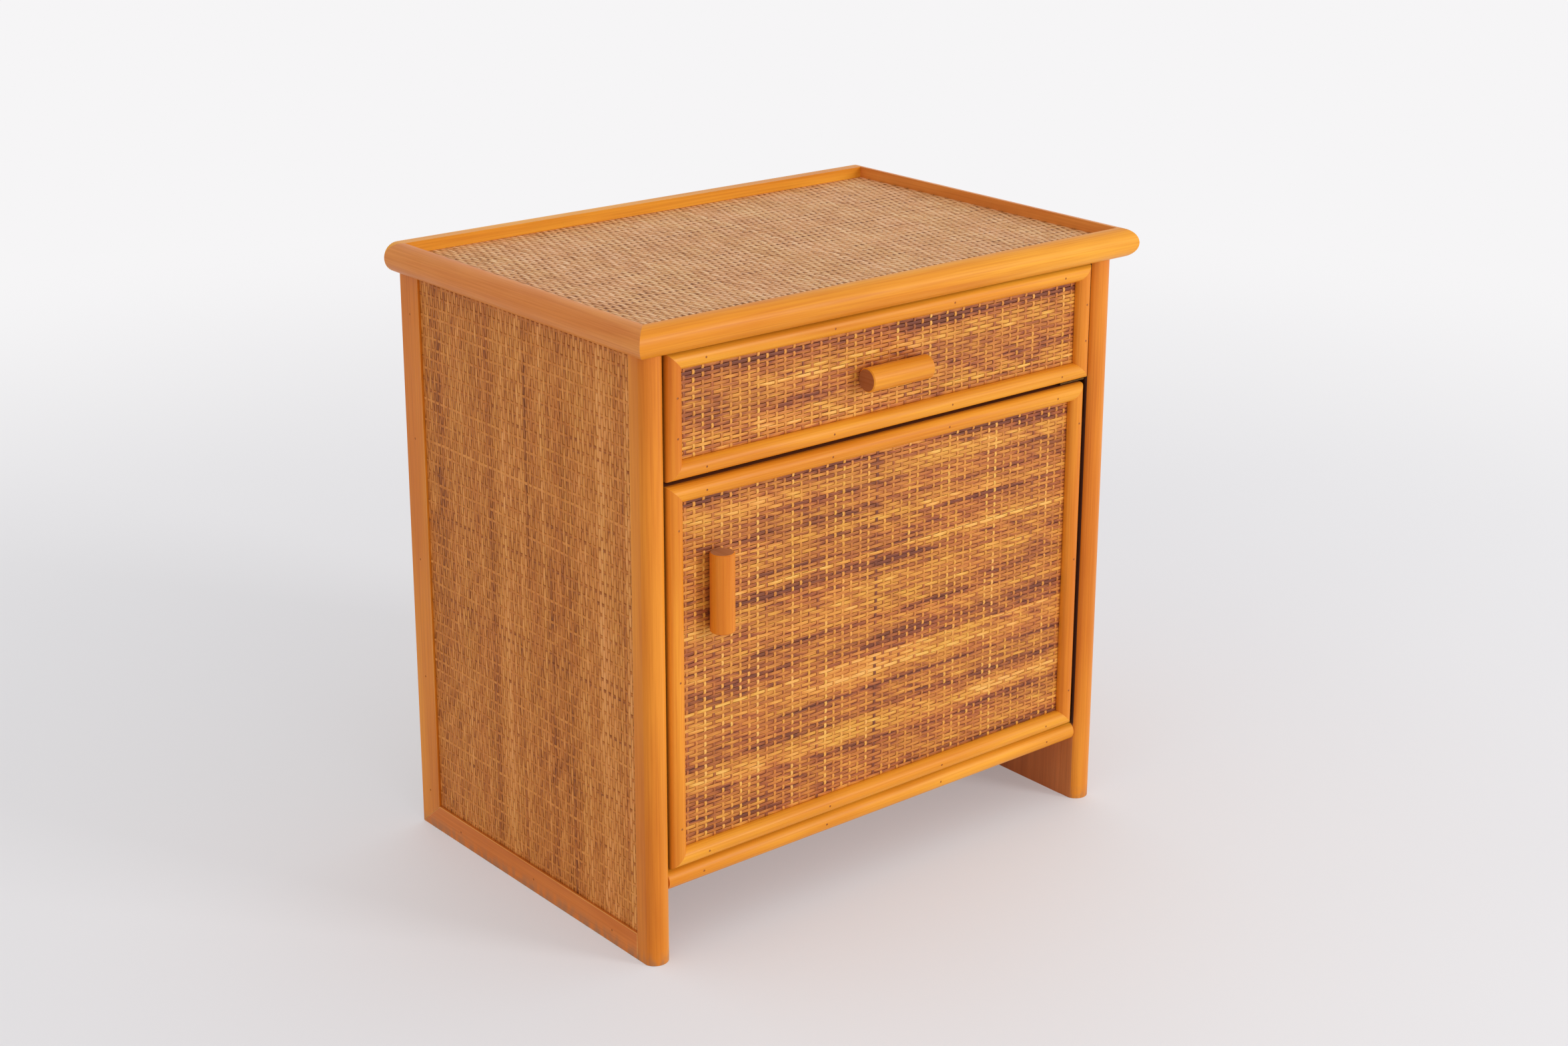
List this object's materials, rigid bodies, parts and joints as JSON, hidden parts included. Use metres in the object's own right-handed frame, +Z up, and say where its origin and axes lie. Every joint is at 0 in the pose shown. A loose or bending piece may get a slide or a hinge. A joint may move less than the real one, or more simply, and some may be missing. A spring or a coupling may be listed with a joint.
{
  "type": "bedside cabinet",
  "caption": "Free-standing bedside cabinet with woven rattan panels in round-edged honey wood, a drawer above a hinged cupboard door and dowel handles.",
  "frame": {"origin": "on the floor under the middle of the outer box", "axes": "+Z up, the front faces -Y, +X to the right seen from the front"},
  "size_m": [0.581, 0.391, 0.5825],
  "materials": {
    "honey_wood": "honey-stained wood under satin lacquer",
    "top_rattan": "fine woven rattan mat under clear lacquer",
    "side_rattan": "woven rattan mat with upright colour streaks",
    "front_rattan": "woven rattan mat with level colour streaks",
    "brown_board": "brown-stained board",
    "plywood": "thin plywood, unfinished",
    "pale_wood": "pale solid wood, sanded",
    "steel": "zinc-plated",
    "brass": "dull brass",
    "brown_plastic": "moulded brown plastic"
  },
  "bodies": {
    "carcass": {"top_board": "brown_board", "top_weave": "top_rattan", "top_front_nosing": "honey_wood", "top_left_nosing": "honey_wood", "top_right_nosing": "honey_wood", "top_back_strip": "honey_wood", "left_side_board": "brown_board", "left_front_post": "honey_wood", "left_back_strip": "honey_wood", "left_bottom_strip": "honey_wood", "left_side_weave": "side_rattan", "left_top_cleat": "pale_wood", "left_drawer_runner": "pale_wood", "panel_screws": "steel", "panel_dowels": "pale_wood", "carcass_pins": "steel", "back_panel_nails": "steel", "right_side_board": "brown_board", "right_front_post": "honey_wood", "right_back_strip": "honey_wood", "right_bottom_strip": "honey_wood", "right_side_weave": "side_rattan", "right_top_cleat": "pale_wood", "right_drawer_runner": "pale_wood", "floor_panel": "brown_board", "divider_panel": "brown_board", "back_panel": "plywood", "bottom_rail": "honey_wood", "drawer_stop_block": "pale_wood", "magnet_catch": "brown_plastic", "upper_hinge_bracket": "brass", "hinge_pivots": "steel", "hinge_screws": "steel", "lower_hinge_bracket": "brass", "hinge_washer": "brown_plastic"},
    "drawer": {"drawer_board": "brown_board", "drawer_weave": "front_rattan", "drawer_frame_bottom": "honey_wood", "drawer_pins": "steel", "drawer_frame_right": "honey_wood", "drawer_frame_top": "honey_wood", "drawer_frame_left": "honey_wood", "drawer_handle": "honey_wood", "drawer_screws": "steel", "drawer_left_side": "pale_wood", "drawer_dowels": "pale_wood", "drawer_right_side": "pale_wood", "drawer_back": "pale_wood", "drawer_bottom": "plywood"},
    "door": {"door_board": "brown_board", "door_weave": "front_rattan", "door_frame_bottom": "honey_wood", "door_pins": "steel", "door_frame_right": "honey_wood", "door_frame_top": "honey_wood", "door_frame_left": "honey_wood", "door_handle": "honey_wood", "door_screws": "steel", "catch_strike": "steel", "hinge_bushes": "brass"}
  },
  "joints": [
    {"name": "drawer_slide", "type": "slide", "parent": "carcass", "child": "drawer", "axis": [0, -1, 0], "range_m": [0, 0.25]},
    {"name": "door_hinge", "type": "hinge", "parent": "carcass", "child": "door", "pos_m": [0.226, -0.162, 0.26075], "axis": [0, 0, 1], "range_deg": [0, 105]}
  ]
}
